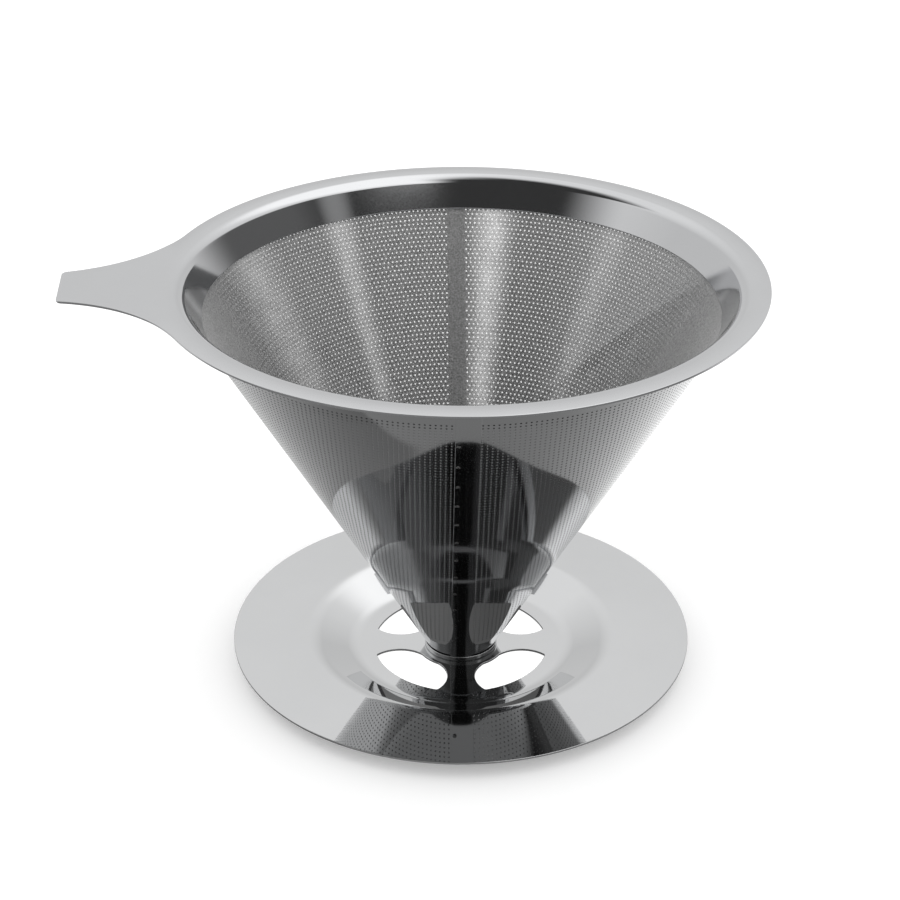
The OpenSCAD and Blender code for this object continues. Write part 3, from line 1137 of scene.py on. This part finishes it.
def pale_floor(graph):
    """Pale and matt, with a painted glow for the camera and painted light and shade as its look in the steel,
    and clear from below to show the underside.
    """
    where = graph.place()
    tone = graph.grey(graph.spread(graph.noise(where, 8.0), 0.87, 0.88))
    # Its emission is painted light that lifts the floor's shade for the camera.
    matt = graph.surface({"Base Color": tone, "Roughness": 0.9, "Specular IOR Level": 0.0,
                          "Emission Color": (1.0, 1.0, 1.0, 1.0),
                          "Emission Strength": floor_glow(graph, where)})
    # The steel sees the floor as an emission: painted light, shade and shadow.
    painted_floor_emission = graph.node("ShaderNodeEmission", {"Strength": painted_floor_in_steel(graph, where)})
    mirrored = graph.node("ShaderNodeLightPath").outputs["Is Glossy Ray"]
    below = graph.node("ShaderNodeNewGeometry").outputs["Backfacing"]
    clear = graph.node("ShaderNodeBsdfTransparent")
    above = graph.node("ShaderNodeMixShader", {0: mirrored, 1: matt, 2: painted_floor_emission.outputs[0]})
    whole = graph.node("ShaderNodeMixShader", {0: below, 1: above.outputs[0], 2: clear.outputs[0]})
    return whole.outputs[0]


def build_floor():
    """A large plane under the stand."""
    half = FLOOR_HALF
    mesh = bpy.data.meshes.new("floor")
    corners = [(-half, -half, 0.0), (half, -half, 0.0), (half, half, 0.0), (-half, half, 0.0)]
    mesh.from_pydata(corners, [], [(0, 1, 2, 3)])
    mesh.materials.append(new_material("pale_floor", pale_floor))
    floor = bpy.data.objects.new("floor", mesh)
    bpy.context.scene.collection.objects.link(floor)


def build_camera():
    """Looks down at the dripper's front, its handle to the left."""
    data = bpy.data.cameras.new("camera")
    data.sensor_width = 36.0
    data.lens = LENS
    data.clip_start, data.clip_end = 0.01, 20.0
    camera = bpy.data.objects.new("camera", data)
    bpy.context.scene.collection.objects.link(camera)
    camera.location = CAMERA
    camera.rotation_euler = (QUARTER - LOOK_DOWN, 0.0, 0.0)
    bpy.context.scene.camera = camera


def build_all():
    """Every visible piece with its material."""
    # tint, roughness, depth of ripple in metres and added haze
    rim = new_material("rim_polish", polished_steel, (0.62, 0.625, 0.635), 0.07, 0.000006, 0.03)
    sheet = new_material("sheet_polish", polished_steel, (0.57, 0.575, 0.58), 0.03, 0.000003, 0.02)
    tip = new_material("tip_polish", polished_steel, (0.62, 0.625, 0.63), 0.10, 0.000004, 0.04)
    stand = new_material("stand_polish", polished_steel, (0.635, 0.64, 0.645), 0.02, 0.000005, 0.015)
    spots = new_material("weld_metal", weld_steel)
    build_rim(rim)
    build_perforated_sheet(sheet)
    build_lap(sheet)
    build_weave(new_material("wire_cloth", woven_steel))
    build_tip_cap(tip)
    build_tip_pan(tip)
    build_spots("seam_spots", seam_weld_places(), SEAM_WELD_R, SEAM_WELD_H, spots, ["seam_welds"])
    build_spots("hub_spots_inside", hub_weld_places(), HUB_WELD_R, HUB_WELD_H, spots, ["hub_welds"])
    build_stand(stand)


build_all()
build_floor()
build_world()
build_camera()
bpy.context.scene.view_settings.view_transform = "Standard"
